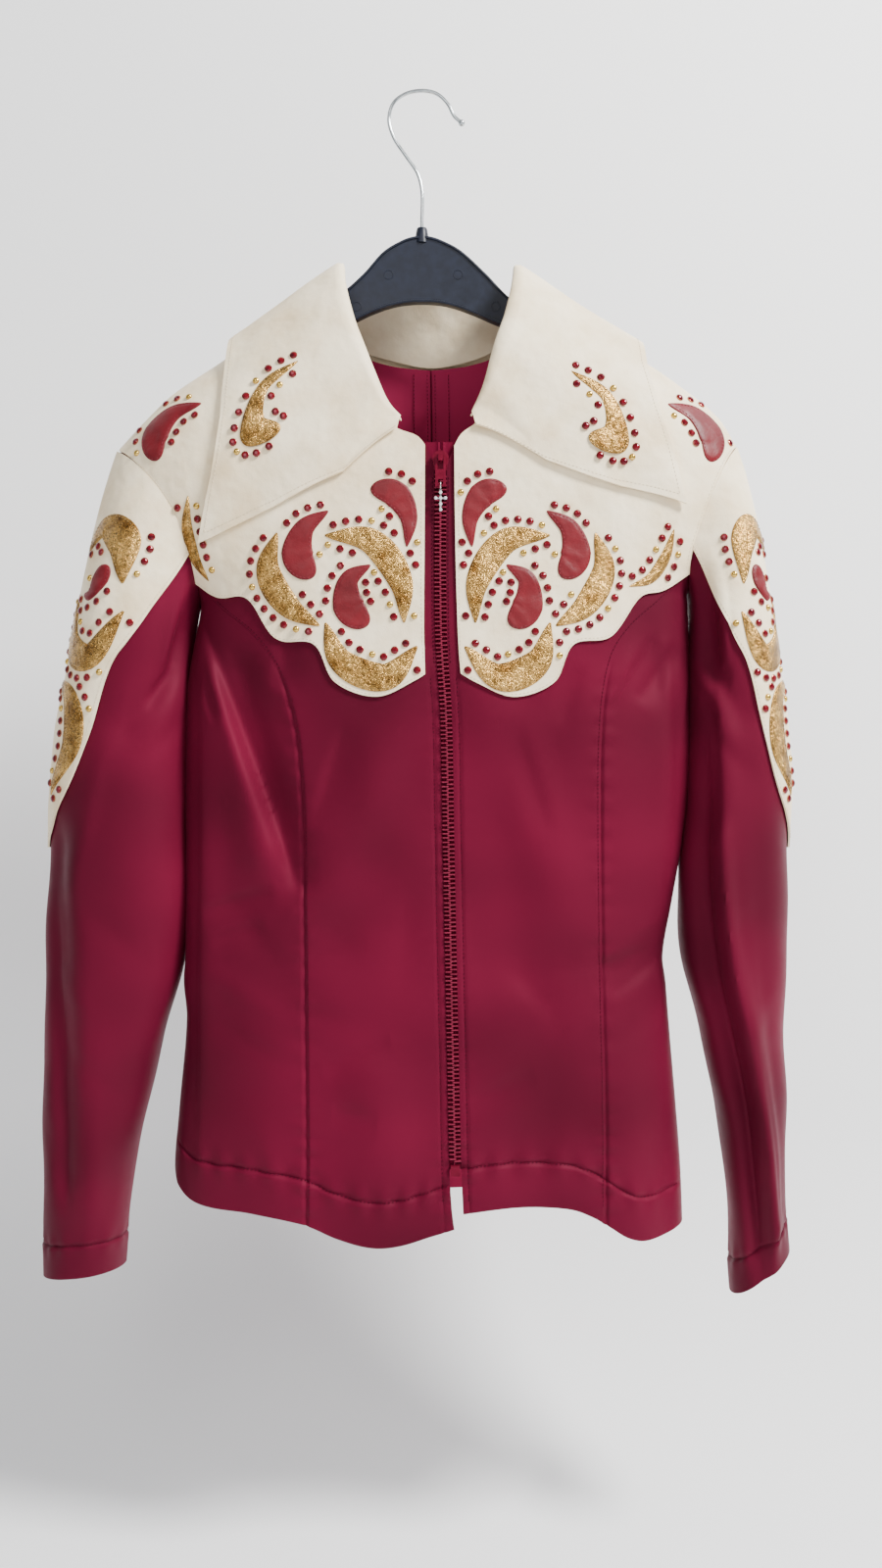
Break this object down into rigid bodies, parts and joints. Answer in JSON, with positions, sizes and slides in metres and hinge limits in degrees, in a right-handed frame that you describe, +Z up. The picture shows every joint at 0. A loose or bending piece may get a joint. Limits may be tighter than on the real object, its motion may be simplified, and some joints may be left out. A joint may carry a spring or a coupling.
{
  "type": "western show blouse on its hanger",
  "caption": "Fitted long-sleeved zip-front show blouse with leather yokes, sleeve caps and pointed collar, hung flat on a moulded hanger with a wire hook.",
  "frame": {"origin": "inside top of the hanger's hook, where it rests on a rail", "axes": "+Z up, towards the rail; -Y is the blouse's front; +X is towards the viewer's right when facing the front"},
  "size_m": [0.516, 0.1056, 0.8305],
  "materials": {
    "satin": "satin stretch cloth",
    "ivory": "matte ivory leather",
    "gold_foil": "metallic crinkled foil leather",
    "red_leather": "semi-gloss red leather",
    "zip_tape": "matte woven",
    "zip_plastic": "moulded, semi-gloss",
    "crystal": "polished",
    "hanger_plastic": "moulded, satin",
    "steel": "bright drawn wire"
  },
  "bodies": {
    "garment": {"centre_front_left": "satin", "centre_front_right": "satin", "front_yoke_left": "ivory", "front_yoke_right": "ivory", "side_front_left": "satin", "side_front_right": "satin", "back_left": "satin", "back_right": "satin", "sleeve_left": "satin", "sleeve_right": "satin", "sleeve_cap_left": "ivory", "sleeve_cap_right": "ivory", "back_yoke": "ivory", "collar": "ivory", "gold_leaf_1_left": "gold_foil", "gold_leaf_1_right": "gold_foil", "gold_leaf_2_left": "gold_foil", "gold_leaf_2_right": "gold_foil", "gold_leaf_3_left": "gold_foil", "gold_leaf_3_right": "gold_foil", "gold_leaf_4_left": "gold_foil", "gold_leaf_4_right": "gold_foil", "gold_leaf_5_left": "gold_foil", "gold_leaf_5_right": "gold_foil", "gold_leaf_6_left": "gold_foil", "gold_leaf_6_right": "gold_foil", "gold_leaf_7_left": "gold_foil", "gold_leaf_7_right": "gold_foil", "gold_leaf_8_left": "gold_foil", "gold_leaf_8_right": "gold_foil", "red_drop_1_left": "red_leather", "red_drop_1_right": "red_leather", "red_drop_2_left": "red_leather", "red_drop_2_right": "red_leather", "red_drop_3_left": "red_leather", "red_drop_3_right": "red_leather", "red_drop_4_left": "red_leather", "red_drop_4_right": "red_leather", "red_drop_5_left": "red_leather", "red_drop_5_right": "red_leather", "red_drop_6_left": "red_leather", "red_drop_6_right": "red_leather", "collar_drop_left": "gold_foil", "collar_drop_right": "gold_foil", "zip_tape_left": "zip_tape", "zip_tape_right": "zip_tape", "zip_chain": "zip_plastic", "zip_box": "zip_plastic", "zip_slider": "zip_plastic", "hanger": "hanger_plastic", "hook": "steel"},
    "pull": {"zip_pull": "zip_plastic"},
    "charm": {"zip_charm": "crystal"}
  },
  "joints": [
    {"name": "pull_swing", "type": "hinge", "parent": "garment", "child": "pull", "pos_m": [0.01193, -0.05421, -0.2635], "axis": [-1, 0, 0], "range_deg": [0, 150]},
    {"name": "charm_swing", "type": "hinge", "parent": "pull", "child": "charm", "pos_m": [0.01193, -0.05421, -0.2821], "axis": [-1, 0, 0], "range_deg": [0, 150]}
  ]
}
